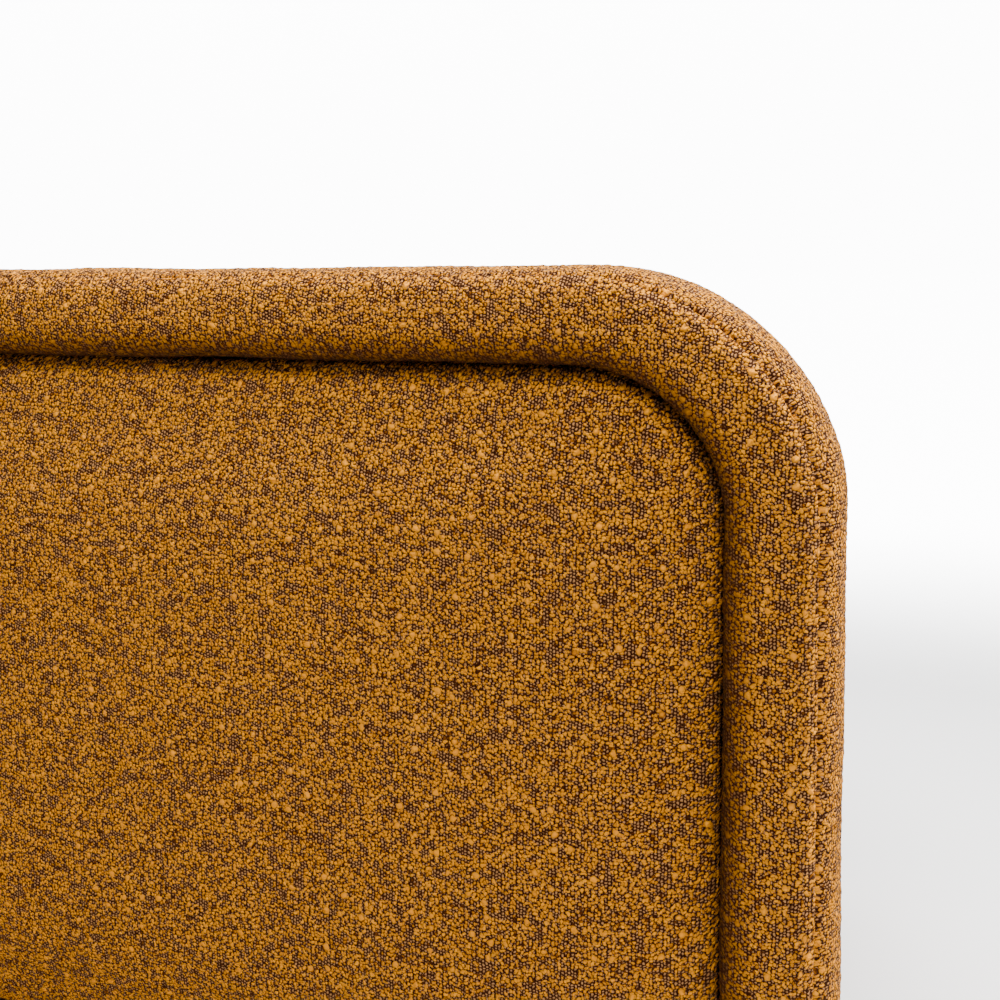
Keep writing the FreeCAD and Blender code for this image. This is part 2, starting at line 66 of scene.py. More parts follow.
def let_go():
    """Object mode with nothing selected."""
    if bpy.context.mode != "OBJECT":
        bpy.ops.object.mode_set(mode="OBJECT")
    bpy.ops.object.select_all(action="DESELECT")


def hold(piece):
    """Only this piece is selected and active."""
    let_go()
    piece.select_set(True)
    bpy.context.view_layer.objects.active = piece


def pick(piece, kind, wanted):
    """Edit mode with the faces, edges or verts that pass a test selected."""
    hold(piece)
    bpy.ops.object.mode_set(mode="EDIT")
    bpy.ops.mesh.select_mode(type={"faces": "FACE", "edges": "EDGE", "verts": "VERT"}[kind])
    bpy.ops.mesh.select_all(action="DESELECT")
    shape = bmesh.from_edit_mesh(piece.data)
    count = 0
    for item in getattr(shape, kind):
        if wanted(item):
            item.select_set(True)
            count += 1
    bmesh.update_edit_mesh(piece.data)
    return count


def block(name, low, high):
    """A cube stretched between two corners, with its size applied."""
    let_go()
    low, high = Vector(low), Vector(high)
    bpy.ops.mesh.primitive_cube_add(size=1, location=(low + high) / 2)
    piece = bpy.context.object
    piece.name = piece.data.name = name
    piece.scale = high - low
    bpy.ops.object.transform_apply(location=True, rotation=True, scale=True)
    return piece


def along(edge, axis):
    """True if an edge runs along X, Y or Z (0, 1 or 2)."""
    way = edge.verts[1].co - edge.verts[0].co
    return abs(way[axis]) > 0.999 * way.length


def middle(edge):
    return (edge.verts[0].co + edge.verts[1].co) / 2


def use(piece, kind, **settings):
    """Add a modifier, set it and apply it."""
    hold(piece)
    modifier = piece.modifiers.new(kind.title(), kind)
    for key, value in settings.items():
        setattr(modifier, key, value)
    bpy.ops.object.modifier_apply(modifier=modifier.name)


def smooth(piece, degrees=40):
    hold(piece)
    bpy.ops.object.shade_smooth_by_angle(angle=math.radians(degrees))


def told(piece):
    """Print what was made."""
    low = [min(v.co[i] for v in piece.data.vertices) for i in range(3)]
    high = [max(v.co[i] for v in piece.data.vertices) for i in range(3)]
    print(
        piece.name, len(piece.data.polygons), "faces",
        [round(v * 1000, 1) for v in low], [round(v * 1000, 1) for v in high],
    )


# %% [markdown]
# ## Shader sums
# A finish is built from many small sums. Wiring Math nodes by hand hides the
# thought behind them, so one class wraps a socket and lets Python's own
# operators add the nodes. Everything that isn't a plain sum goes through one
# method that takes the node's type, its settings and its sockets.

# %% The Wire class and the Finish class
class Wire:
    """A number socket that can be added, multiplied and compared."""

    def __init__(self, finish, socket):
        self.finish = finish
        self.socket = socket

    def sum(self, operation, a, b=None):
        sockets = {0: a} if b is None else {0: a, 1: b}
        return self.finish.node("ShaderNodeMath", {"operation": operation}, sockets)

    def __add__(self, other):
        return self.sum("ADD", self, other)

    def __radd__(self, other):
        return self.sum("ADD", other, self)

    def __sub__(self, other):
        return self.sum("SUBTRACT", self, other)

    def __rsub__(self, other):
        return self.sum("SUBTRACT", other, self)

    def __mul__(self, other):
        return self.sum("MULTIPLY", self, other)

    def __rmul__(self, other):
        return self.sum("MULTIPLY", other, self)

    def __truediv__(self, other):
        return self.sum("DIVIDE", self, other)

    def __rtruediv__(self, other):
        return self.sum("DIVIDE", other, self)

    def __pow__(self, other):
        return self.sum("POWER", self, other)

    def sin(self):
        return self.sum("SINE", self)

    def whole(self):
        return self.sum("FLOOR", self)

    def size(self):
        return self.sum("ABSOLUTE", self)

    def most(self, other):
        return self.sum("MAXIMUM", self, other)

    def step(self, low, high):
        """0 below low, 1 above high, eased between."""
        settings = {"interpolation_type": "SMOOTHSTEP"}
        sockets = {"Value": self, "From Min": low, "From Max": high}
        return self.finish.node("ShaderNodeMapRange", settings, sockets)


class Finish:
    """A material and the one method that adds its nodes."""

    def __init__(self, name):
        self.material = bpy.data.materials.new(name)
        self.material.use_nodes = True
        self.tree = self.material.node_tree
        self.shader = self.tree.nodes["Principled BSDF"]

    def node(self, kind, settings=None, sockets=None, out=0):
        made = self.tree.nodes.new(kind)
        for key, value in (settings or {}).items():
            setattr(made, key, value)
        for key, value in (sockets or {}).items():
            self.plug(made.inputs[key], value)
        return Wire(self, made.outputs[out])

    def plug(self, socket, value):
        if isinstance(value, Wire):
            self.tree.links.new(value.socket, socket)
        else:
            socket.default_value = value

    def mix(self, amount, a, b):
        """Colours a and b by an amount."""
        settings = {"data_type": "RGBA"}
        a = a if isinstance(a, Wire) else (*a, 1.0)
        b = b if isinstance(b, Wire) else (*b, 1.0)
        return self.node("ShaderNodeMix", settings, {0: amount, 6: a, 7: b}, out=2)

    def place(self, scale=(1000.0, 1000.0, 1000.0), turn=(0.0, 0.0, 0.0)):
        """Object coordinates, in millimetres unless told otherwise."""
        spot = self.node("ShaderNodeTexCoord", out="Object")
        sockets = {"Vector": spot, "Scale": scale, "Rotation": turn}
        return self.node("ShaderNodeMapping", {"vector_type": "POINT"}, sockets)

    def cloth_place(self):
        """The cloth's own map: across the ribs and along them, in metres."""
        return self.node("ShaderNodeUVMap", {"uv_map": "cloth"})

    def parts(self, vector):
        """The three numbers of a vector."""
        split = self.node("ShaderNodeSeparateXYZ", None, {0: vector})
        return [Wire(self, split.socket.node.outputs[i]) for i in range(3)]

    def noise(self, vector, scale, detail=2.0, rough=0.5, out=0):
        sockets = {"Vector": vector, "Scale": scale, "Detail": detail, "Roughness": rough}
        return self.node("ShaderNodeTexNoise", {"noise_dimensions": "3D"}, sockets, out)

    def finish(self, colour, rough, height=None, depth=1.0, **constants):
        """Wire colour, roughness and relief, and set the constants."""
        self.plug(self.shader.inputs["Base Color"], colour if isinstance(colour, Wire) else (*colour, 1))
        self.plug(self.shader.inputs["Roughness"], rough)
        for key, value in constants.items():
            socket = key.replace("_", " ").title().replace("Ior", "IOR")
            self.shader.inputs[socket].default_value = value
        if height is not None:
            sockets = {"Height": height, "Strength": 1.0, "Distance": depth}
            bump = self.node("ShaderNodeBump", None, sockets)
            self.plug(self.shader.inputs["Normal"], bump)
        return self.material


# %% [markdown]
# ## The front's outline
# The tall front is a board with round corners, wrapped in foam and cloth. Its
# outline is a cube whose four corner edges are bevelled: large at the top, small
# at the bottom. The long sides are then cut into short lengths, because cloth
# needs even faces before it can be rounded or roughened: long thin ones would
# show as streaks once the cloth has relief.

# %% A rounded slab with even edges
STEP = 6.6 * MM


def slab(name, half, low_z, high_z, top_r, low_r, front_y, back_y, step=STEP):
    """Upright slab with round corners and evenly cut edges."""
    piece = block(name, (-half, front_y, low_z), (half, back_y, high_z))
    mid = (low_z + high_z) / 2
    for radius, upper in ((top_r, True), (low_r, False)):
        pick(piece, "edges", lambda e: along(e, 1) and (middle(e).z > mid) == upper)
        turns = max(4, round(radius * math.pi / 2 / step))
        bpy.ops.mesh.bevel(offset=radius, offset_type="OFFSET", segments=turns, affect="EDGES")
    for way, side in ((0, 1), (0, -1), (2, 1), (2, -1)):
        def one_side(e):
            far = middle(e).x if way == 2 else middle(e).z - mid
            return along(e, way) and far * side > 0 and e.calc_length() > 2 * step

        pick(piece, "edges", one_side)
        length = (high_z - low_z if way == 2 else 2 * half) - top_r - low_r
        bpy.ops.mesh.subdivide(number_cuts=round(length / step) - 1)
    bpy.ops.object.mode_set(mode="OBJECT")
    return piece


# %% [markdown]
# ## Cloth that lies the right way
# The ribs of the weave run one way over each piece, so each piece gets its own
# flat map of the cloth, in metres. On a face it is a plain projection. Round a
# corner it follows the edge, as a strip does when it is sewn on, so a helper
# measures how far round the outline a point lies.

# %% Lay the weave on a piece
def round_trip(x, z, half, low, high, top_r, low_r):
    """Distance round an outline with round corners, from the top's middle."""
    side = 1 if x >= 0 else -1
    x = abs(x)
    turn = math.pi / 2
    upright = high - top_r - (low + low_r)
    if z > high - top_r and x <= half - top_r:
        way = x
    elif z > high - top_r:
        way = half - top_r + top_r * math.atan2(x - half + top_r, z - high + top_r)
    elif z > low + low_r:
        way = half - top_r + top_r * turn + (high - top_r - z)
    elif x > half - low_r:
        way = half - top_r + top_r * turn + upright
        way += low_r * math.atan2(low + low_r - z, x - half + low_r)
    else:
        way = half - top_r + (top_r + low_r) * turn + upright + (half - low_r - x)
    return side * way


def lay_cloth(piece, rule):
    """Write the cloth map: across the ribs and along them."""
    hold(piece)
    mesh = piece.data
    while mesh.uv_layers:
        mesh.uv_layers.remove(mesh.uv_layers[0])
    layer = mesh.uv_layers.new(name="cloth")
    spots = [rule(v.co, v.normal) for v in mesh.vertices]
    flat = []
    for loop in mesh.loops:
        flat.extend(spots[loop.vertex_index])
    layer.data.foreach_set("uv", flat)


# %% [markdown]
# ## Border roll
# On the real front a strip of cloth is sewn round the face, over a roll of foam.
# The face of the slab is inset again and again, each time by a few millimetres
# and a little forward or back, and the insets together draw the roll's section.
# Inset keeps the width the same all round, as a sewn strip does, which a scaled
# copy would not.

# %% Sizes of the front
FRONT_HALF = 460 * MM
FRONT_LOW = 26 * MM
FRONT_HIGH = 446 * MM
FRONT_TOP_R = 104 * MM
FRONT_LOW_R = 56 * MM
SEAM_Y = -215 * MM
BACK_Y = -154.8 * MM
TUCK = 2.5 * MM
CENTRE_Z = (FRONT_LOW + FRONT_HIGH) / 2
OUTLINE = (FRONT_HALF, FRONT_LOW, FRONT_HIGH, FRONT_TOP_R, FRONT_LOW_R)
ROLL = [
    (0.9, 1.8), (1.4, 2.2), (2.6, 2.6), (4.2, 2.0), (5.0, 1.1), (5.4, 0.4), (5.3, -0.3),
    (4.8, -1.3), (3.6, -2.4), (2.6, -3.4), (1.8, -4.4), (1.2, -4.2), (0.3, -6.0), (0.1, -8.0),
]
PAD_INSET = sum(step[0] for step in ROLL) * MM
PAD_ROUND = FRONT_TOP_R - PAD_INSET
print("border is", round(PAD_INSET * 1000, 1), "mm wide")

# %% Model the border roll
roll = slab("front_border", *OUTLINE, SEAM_Y, BACK_Y)
pick(roll, "faces", lambda f: f.normal.y > -0.9)
bpy.ops.mesh.delete(type="FACE")
pick(roll, "edges", lambda e: e.is_boundary)
bpy.ops.mesh.extrude_edges_move(TRANSFORM_OT_translate={"value": (0, 5 * MM, 0)})
tuck = (1 - TUCK / FRONT_HALF, 1, 1 - TUCK / (CENTRE_Z - FRONT_LOW))
bpy.ops.transform.resize(value=tuck, center_override=(0, 0, CENTRE_Z))
pick(roll, "faces", lambda f: f.normal.y < -0.9 and len(f.verts) > 60)
for width, forward in ROLL:
    bpy.ops.mesh.inset(thickness=width * MM, depth=forward * MM)
bpy.ops.mesh.delete(type="FACE")
told(roll)

# %% [markdown]
# ## Edge band
# A second strip goes round the edge of the front, over thin wadding. It is the
# rim of the same slab, cut into loops that are scaled out to a soft bulge, more
# at the sides than on top. Its rear edge is folded in behind the panel, where
# the real one is stapled, and stands out a little there to cover the lining.

# %% Model the edge band
BAND_LOOPS = 10
SWELL_SIDE, SWELL_TOP = 10 * MM, 4 * MM
REAR_FOLD = 43 * MM
REAR_LIP = 4 * MM
band = slab("front_edge_band", *OUTLINE, SEAM_Y, BACK_Y)
pick(band, "faces", lambda f: f.normal.y > 0.9)
bpy.ops.mesh.inset(thickness=2 * MM, depth=1.2 * MM)
bpy.ops.mesh.inset(thickness=REAR_FOLD, depth=0)
bpy.ops.mesh.delete(type="FACE")
pick(band, "faces", lambda f: f.normal.y < -0.9)
bpy.ops.mesh.inset(thickness=TUCK, depth=-2 * MM)
bpy.ops.mesh.delete(type="FACE")
pick(band, "edges", lambda e: along(e, 1) and e.calc_length() > 30 * MM)
bpy.ops.mesh.subdivide(number_cuts=BAND_LOOPS)
for loop in range(1, BAND_LOOPS + 1):
    share = loop / (BAND_LOOPS + 1)
    swell = (1 - abs(2 * share - 1) ** 2.6) ** 0.7
    where = SEAM_Y + share * (BACK_Y - SEAM_Y)
    pick(band, "verts", lambda v: abs(v.co.y - where) < 0.5 * MM)
    grow = (
        1 + SWELL_SIDE / FRONT_HALF * swell, 1,
        1 + SWELL_TOP / (CENTRE_Z - FRONT_LOW) * swell,
    )
    bpy.ops.transform.resize(value=grow, center_override=(0, 0, CENTRE_Z))
pick(band, "verts", lambda v: abs(v.co.y - BACK_Y) < 0.5 * MM)
lip = (1 + REAR_LIP / FRONT_HALF, 1, 1)
bpy.ops.transform.resize(value=lip, center_override=(0, 0, CENTRE_Z))
bpy.ops.object.mode_set(mode="OBJECT")
told(band)

# %% [markdown]
# ## Stuffed pieces
# A cushion's shape comes from its filling pushing on a cover that is held at its
# seams. It could be sculpted, but Blender's cloth gives the same answer for
# little work: the shape is remeshed evenly, its held part is pinned, pressure
# swells it for twenty frames, and a cap stops it where foam would. Small puckers
# can be left where the pressure found slack, so a piece can be calmed at the end.

# %% A helper that stuffs a piece
def stuff(piece, held, cap, voxel, calm=0, pressure=4.0, frames=20):
    """Swell a remeshed piece with cloth pressure, by at most the cap."""
    use(piece, "REMESH", mode="VOXEL", voxel_size=voxel)
    rest = [v.co.copy() for v in piece.data.vertices]
    group = piece.vertex_groups.new(name="held")
    group.add([i for i, co in enumerate(rest) if held(co)], 1.0, "REPLACE")
    hold(piece)
    cloth = piece.modifiers.new("Cloth", "CLOTH")
    cloth.settings.quality = 4
    cloth.settings.vertex_group_mass = "held"
    cloth.settings.use_pressure = True
    cloth.settings.uniform_pressure_force = pressure
    cloth.settings.effector_weights.gravity = 0
    cloth.collision_settings.use_collision = False
    cloth.point_cache.frame_start, cloth.point_cache.frame_end = 1, frames
    for frame_number in range(1, frames + 1):
        scene.frame_set(frame_number)
    bpy.ops.object.modifier_apply(modifier="Cloth")
    scene.frame_set(1)
    most = 0
    for vertex, start in zip(piece.data.vertices, rest):
        move = vertex.co - start
        most = max(most, move.length)
        if move.length > 1e-7:
            share = cap * math.tanh(move.length / cap) / move.length
            vertex.co = start + move * share
    print(piece.name, "swelled by up to", round(most * 1000, 1), "mm before the cap")
    piece.vertex_groups.clear()
    if calm:
        use(piece, "SMOOTH", factor=0.5, iterations=calm)


# %% [markdown]
# ## Front pad
# The field inside the border is a foam pad with a crowned front. Its sides drop
# into the deep seam beside the roll. Only its front swells, because its sides
# are trapped, so those are the held part.

# %% Model the front pad
PAD_OUTLINE = (
    FRONT_HALF - PAD_INSET, FRONT_LOW + PAD_INSET, FRONT_HIGH - PAD_INSET,
    PAD_ROUND, FRONT_LOW_R - PAD_INSET,
)
PAD_FRONT = -223 * MM
PAD_HELD = -209 * MM
PAD_BACK = -184 * MM
pad = slab("front_pad_cover", *PAD_OUTLINE, PAD_FRONT, PAD_BACK, step=8 * MM)
pick(pad, "edges", lambda e: middle(e).y < PAD_FRONT + 0.1 * MM)
bpy.ops.mesh.bevel(offset=8 * MM, segments=4, affect="EDGES")
stuff(pad, lambda co: co.y > PAD_HELD, cap=12 * MM, voxel=5 * MM, calm=10)
pick(pad, "faces", lambda f: f.normal.y > 0.9 and f.calc_center_median().y > -190 * MM)
bpy.ops.mesh.delete(type="FACE")
bpy.ops.object.mode_set(mode="OBJECT")
told(pad)

# %% [markdown]
# ## Relief of the bouclé
# Bouclé is a yarn of small loops. The loops themselves are left to the finish,
# but the lumps of yarn stand proud enough to break the outline, so the dense
# mesh is pushed in and out by a fine pattern. A second, broad and faint one gives
# the slight unevenness of stuffed cloth. The bottom of the seam between the roll
# and the pad lies in shade, so the roll also carries a number at each point, 1 at
# the seam and 0 outside it, by which the finish darkens the cloth's colour there: painted shade.

# %% Roughen a piece
def pattern(name, kind, size, **settings):
    texture = bpy.data.textures.new(name, kind)
    texture.noise_scale = size
    for key, value in settings.items():
        setattr(texture, key, value)
    return texture


LUMPS = pattern("lumps", "CLOUDS", 2.8 * MM, noise_depth=1)
WAVES = pattern("waves", "CLOUDS", 60 * MM, noise_depth=1)


# How far from the seam the painted shade on the roll reaches.
SEAM_SHADE = 17 * MM


def shade_seam(piece):
    """Mark how deep each point of the roll lies in the seam beside the pad, for painted shade."""
    mark = piece.data.attributes.new("seam", "FLOAT", "POINT")
    pad_half, pad_low, pad_high = PAD_OUTLINE[:3]
    middle_x, middle_z = pad_half - PAD_ROUND, pad_high - PAD_ROUND
    values = []
    for vertex in piece.data.vertices:
        x, z = abs(vertex.co.x), vertex.co.z
        if x > middle_x and z > middle_z:
            gap = math.hypot(x - middle_x, z - middle_z) - PAD_ROUND
        elif x - pad_half > max(z - pad_high, pad_low - z):
            gap = x - pad_half
        else:
            gap = max(z - pad_high, pad_low - z)
        values.append(max(0.0, 1 - gap / SEAM_SHADE))
    mark.data.foreach_set("value", values)


def roughen(piece, levels, lumps=1.9, waves=2.0):
    """Subdivide a piece and push its surface in and out, in millimetres."""
    if levels:
        use(piece, "SUBSURF", levels=levels, render_levels=levels)
    for texture, reach in ((WAVES, waves), (LUMPS, lumps)):
        if reach:
            use(
                piece, "DISPLACE", texture=texture, texture_coords="LOCAL",
                strength=reach * MM, mid_level=0.5, direction="NORMAL",
            )
    smooth(piece, 80)
    told(piece)


use(roll, "SUBSURF", levels=2, render_levels=2)
shade_seam(roll)
roughen(roll, 0)
roughen(band, 2, lumps=1.5)
roughen(pad, 2)
lay_cloth(roll, lambda co, n: (co.x, co.z))
lay_cloth(pad, lambda co, n: (co.x, co.z))


def inward(co):
    """How far a point lies inside the front's outline."""
    x = abs(co.x)
    above = (FRONT_TOP_R, co.z - (FRONT_HIGH - FRONT_TOP_R))
    below = (FRONT_LOW_R, FRONT_LOW + FRONT_LOW_R - co.z)
    for radius, rise in (above, below):
        reach = x - (FRONT_HALF - radius)
        if reach > 0 and rise > 0:
            return radius - math.hypot(reach, rise)
    return min(FRONT_HALF - x, FRONT_HIGH - co.z, co.z - FRONT_LOW)


def round_band(co, normal):
    """Round the band, and across it on to its rear fold."""
    folded = inward(co) if co.y > BACK_Y - 0.8 * MM else 0
    return (round_trip(co.x, co.z, *OUTLINE), co.y + folded)


lay_cloth(band, round_band)

# %% Set the front on the base
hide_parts("front_border_roll")
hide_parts("front_gusset")
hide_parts("front_pad")
for piece, fill in ((roll, 0.9), (band, 0.8), (pad, 0.9)):
    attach(piece, "base")

# %% [markdown]
# ## Lid cushion
# The lid is a slab of foam, rounded over at both ends and covered in one piece
# of cloth, with a seam along its front and its rear. A block is made deeper
# than the lid so that a large bevel fits on its upper edges, and a bisect then
# cuts it off level with the lid board. It starts a little small and the cloth
# swells it. The board inside and the sewn lower edge hold it below, and only a
# margin of cloth is left under the board, as it is folded and stapled there.

# %% Shape the lid's foam
LID_HALF = 446 * MM
LID_TOP = 430 * MM
LID_UNDER = 338.4 * MM
LID_DEEP = LID_TOP - 132 * MM
LID_HELD = 346 * MM
LID_FRONT, LID_REAR = -148.5 * MM, 216.5 * MM
LID_ROUND = 128 * MM
MARGIN_HALF = 429 * MM
MARGIN_FRONT, MARGIN_REAR = -140 * MM, 194 * MM
lid = block("lid_cover", (-LID_HALF, LID_FRONT, LID_DEEP), (LID_HALF, LID_REAR, LID_TOP))
pick(lid, "edges", lambda e: along(e, 1) and middle(e).z > LID_TOP - MM)
bpy.ops.mesh.bevel(offset=LID_ROUND, offset_type="OFFSET", segments=24, affect="EDGES")
pick(lid, "faces", lambda f: True)
bpy.ops.mesh.bisect(
    plane_co=(0, 0, LID_UNDER), plane_no=(0, 0, 1), clear_inner=True, use_fill=True,
)


def sewn_edge(edge):
    """True on the upper edges of the lid's front and rear."""
    spot = middle(edge)
    at_end = abs(spot.y - LID_FRONT) < MM or abs(spot.y - LID_REAR) < MM
    return not along(edge, 1) and spot.z > LID_UNDER + MM and at_end


def inside_margin(face):
    """True under the board, inside the margin where the cloth is stapled."""
    spot = face.calc_center_median()
    return face.normal.z < -0.9 and abs(spot.x) < MARGIN_HALF and MARGIN_FRONT < spot.y < MARGIN_REAR


pick(lid, "edges", sewn_edge)
bpy.ops.mesh.bevel(offset=11 * MM, segments=4, affect="EDGES")
stuff(lid, lambda co: co.z < LID_HELD, cap=7 * MM, voxel=6 * MM)
pick(lid, "faces", inside_margin)
bpy.ops.mesh.delete(type="FACE")
told(lid)

# %% [markdown]
# ## Sunken seams
# A seam pulls the cloth down into the stuffing. Remeshing would wipe out so
# narrow a groove, so it is made afterwards: each point gets a weight from how
# near it lies to the seam, and a Displace draws the weighted points inwards.

# %% A helper that sinks and raises a surface
def press(piece, weight, depth):
    """Move a surface inwards (or out, for a negative depth) by a weight."""
    group = piece.vertex_groups.new(name="press")
    for vertex in piece.data.vertices:
        amount = weight(vertex.co)
        if amount > 0.003:
            group.add([vertex.index], min(amount, 1.0), "REPLACE")
    use(piece, "DISPLACE", vertex_group="press", strength=-depth, mid_level=0.0, direction="NORMAL")
    piece.vertex_groups.clear()


def dip(distance, width):
    """1 on the seam, easing to 0 at the width."""
    return max(0.0, 1 - (distance / width) ** 2) ** 2


use(lid, "SUBSURF", levels=1, render_levels=1)
LID_SEAMS = (LID_FRONT + 11 * MM, LID_REAR - 11 * MM)


def lid_seam(co):
    """1 on the lid's two seams, 0 below them."""
    return max(dip(co.y - seam, 5 * MM) for seam in LID_SEAMS) if co.z > 345 * MM else 0


def low_corner(co):
    """1 at the lid's lower corners, where the cloth wraps the board's."""
    far = min(abs(co.x) - 422 * MM, max(co.y - 200 * MM, -134 * MM - co.y), 358 * MM - co.z)
    return max(0.0, min(1.0, far / (8 * MM)))


press(lid, lid_seam, 2.6 * MM)
press(lid, low_corner, -2.2 * MM)
roughen(lid, 0, lumps=1.1)


def over_lid(co, normal):
    """Across the lid and down its round ends."""
    x = abs(co.x)
    turn = max(0.0, x - (LID_HALF - LID_ROUND))
    way = min(1.0, turn / LID_ROUND)
    across = LID_HALF - LID_ROUND + LID_ROUND * math.asin(way) if turn else x
    return (math.copysign(across, co.x), co.y if abs(normal.y) < 0.7 else co.z + co.y)


lay_cloth(lid, over_lid)

# %% [markdown]
# ## Cover of the box
# One strip of cloth goes round the two sides and the back of the box, over thin
# wadding, with a seam down each rear corner. The block's top, bottom and front
# are deleted, which leaves a wall with three sides. Its upper and lower edges
# are extruded inwards, where the cloth is turned over the boards, and those
# edges are bevelled so that they look wrapped and not cut.

# %% Model the box cover
BOX_HALF = 449.4 * MM
BOX_REAR = 217.4 * MM
BOX_LOW, BOX_HIGH = 34.5 * MM, 335.9 * MM
BOX_FRONT = -154.6 * MM
REAR_ROUND = 9 * MM
TURN_IN = 20 * MM
BOX_STEP = 6.5 * MM
wall_cover = block("box_cover", (-BOX_HALF, BOX_FRONT, BOX_LOW), (BOX_HALF, BOX_REAR, BOX_HIGH))
pick(wall_cover, "faces", lambda f: abs(f.normal.z) > 0.9 or f.normal.y < -0.9)
bpy.ops.mesh.delete(type="FACE")
pick(wall_cover, "edges", lambda e: along(e, 2) and middle(e).y > 0)
bpy.ops.mesh.bevel(offset=REAR_ROUND, segments=4, affect="EDGES")
for axis, size in ((2, BOX_HIGH - BOX_LOW), (0, 2 * BOX_HALF), (1, BOX_REAR - BOX_FRONT)):
    pick(wall_cover, "edges", lambda e: along(e, axis) and e.calc_length() > 0.8 * size)
    bpy.ops.mesh.subdivide(number_cuts=round(size / BOX_STEP) - 1)


def at_height(edge, z):
    return abs(middle(edge).z - z) < 0.1 * MM


def turned_edge(edge):
    """True on the edges where the cloth turns over the boards."""
    if edge.is_boundary or edge.verts[0].co.z != edge.verts[1].co.z:
        return False
    if not (at_height(edge, BOX_HIGH) or at_height(edge, BOX_LOW)):
        return False
    outside = all(
        abs(abs(v.co.x) - BOX_HALF) < REAR_ROUND + 0.1 * MM or v.co.y > BOX_REAR - REAR_ROUND
        for v in edge.verts
    )
    return outside and 0.5 < abs(sum(f.normal.z for f in edge.link_faces)) < 1.5


for rim_z in (BOX_HIGH, BOX_LOW):
    pick(wall_cover, "edges", lambda e: e.is_boundary and not along(e, 2) and at_height(e, rim_z))
    bpy.ops.mesh.extrude_edges_move()
    tuck = (1 - TURN_IN / BOX_HALF, 1 - TURN_IN / (BOX_REAR - BOX_FRONT), 1)
    bpy.ops.transform.resize(value=tuck, center_override=(0, BOX_FRONT, rim_z))
    inwards = (0, 0, -5 * MM if rim_z == BOX_HIGH else 2 * MM)
    bpy.ops.mesh.extrude_edges_move(TRANSFORM_OT_translate={"value": inwards})
pick(wall_cover, "edges", turned_edge)
bpy.ops.mesh.bevel(offset=2.5 * MM, segments=3, affect="EDGES")
bpy.ops.object.mode_set(mode="OBJECT")
use(wall_cover, "SUBSURF", levels=1, render_levels=1)


def ease(distance, width):
    share = max(0.0, min(1.0, distance / width))
    return share * share * (3 - 2 * share)


def crown(co):
    """1 in the middle of a side, 0 along its edges."""
    up = ease(min(co.z - BOX_LOW, BOX_HIGH - co.z) - 2 * MM, 60 * MM)
    if abs(co.x) > BOX_HALF - 2 * MM:
        return up * ease(min(BOX_REAR - co.y - 8 * MM, co.y - BOX_FRONT), 60 * MM)
    return up * ease(BOX_HALF - 10 * MM - abs(co.x), 60 * MM)


def corner_seam(co):
    """1 down the seam of each rear corner."""
    if co.z > BOX_HIGH - MM or co.z < BOX_LOW + MM:
        return 0
    beside = dip(abs(co.x) - (BOX_HALF - REAR_ROUND * 0.3), 5 * MM)
    behind = dip(co.y - (BOX_REAR - REAR_ROUND * 0.3), 5 * MM)
    return beside * behind


press(wall_cover, crown, -2.4 * MM)
press(wall_cover, corner_seam, 1.6 * MM)
roughen(wall_cover, 0, lumps=1.0, waves=1.0)


def round_box(co, normal):
    """Along the strip of cloth, and up it."""
    if abs(normal.y) > 0.7 and co.y > 0:
        return (co.x, co.z)
    side = 1 if co.x > 0 else -1
    return (side * (BOX_HALF + BOX_REAR - co.y), co.z)


lay_cloth(wall_cover, round_box)

# %% [markdown]
# ## Pull tab
# A loop of the same cloth is sewn to the lid's front edge and lies on top, to
# lift the lid by. A strip is drawn as one line of edges, extruded step by step
# along the lid, round the fold and back again. Solidify gives it the thickness
# of folded cloth. Two rows of stitches hold its ends.

# %% Model the pull tab
TAB_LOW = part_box("pull_tab")[0]
TAB_HALF = 18.5 * MM
let_go()
bpy.ops.mesh.primitive_plane_add(size=1)
tab = bpy.context.object
tab.name = tab.data.name = "pull_tab_loop"
tab.scale = (2 * TAB_HALF, 6 * MM, 1)
tab.location = (0, TAB_LOW.y + 3 * MM, TAB_LOW.z + 1.6 * MM)
bpy.ops.object.transform_apply(location=True, rotation=True, scale=True)
LOOP = [(6, 0.0)] * 7
LOOP += [(5, 0.3), (4, 0.2), (2.2, 0.7), (0.9, 1.3), (-1.2, 1.5), (-2.4, 0.6), (-4, -0.3), (-5, -0.7)]
LOOP += [(-6, -0.5), (-6, -0.4), (-6, -0.2), (-6, 0), (-6, 0), (-6, 0), (-6, -0.1), (-5, -0.1)]
pick(tab, "edges", lambda e: along(e, 0) and middle(e).y > TAB_LOW.y + 5 * MM)
for ahead, up in LOOP:
    bpy.ops.mesh.extrude_edges_move(TRANSFORM_OT_translate={"value": (0, ahead * MM, up * MM)})
pick(tab, "edges", lambda e: along(e, 0))
bpy.ops.mesh.subdivide(number_cuts=7)
bpy.ops.object.mode_set(mode="OBJECT")
use(tab, "SOLIDIFY", thickness=1.9 * MM, offset=0)
use(tab, "BEVEL", width=0.6 * MM, segments=2, limit_method="ANGLE")
use(tab, "SUBSURF", levels=2, render_levels=2)
roughen(tab, 0, lumps=0.5, waves=0.6)
lay_cloth(tab, lambda co, n: (co.x, co.y + (0.3 if n.z > 0 else 0)))

# %% Stitch the pull tab
STITCHES = 9
STITCH_APART = 3.9 * MM


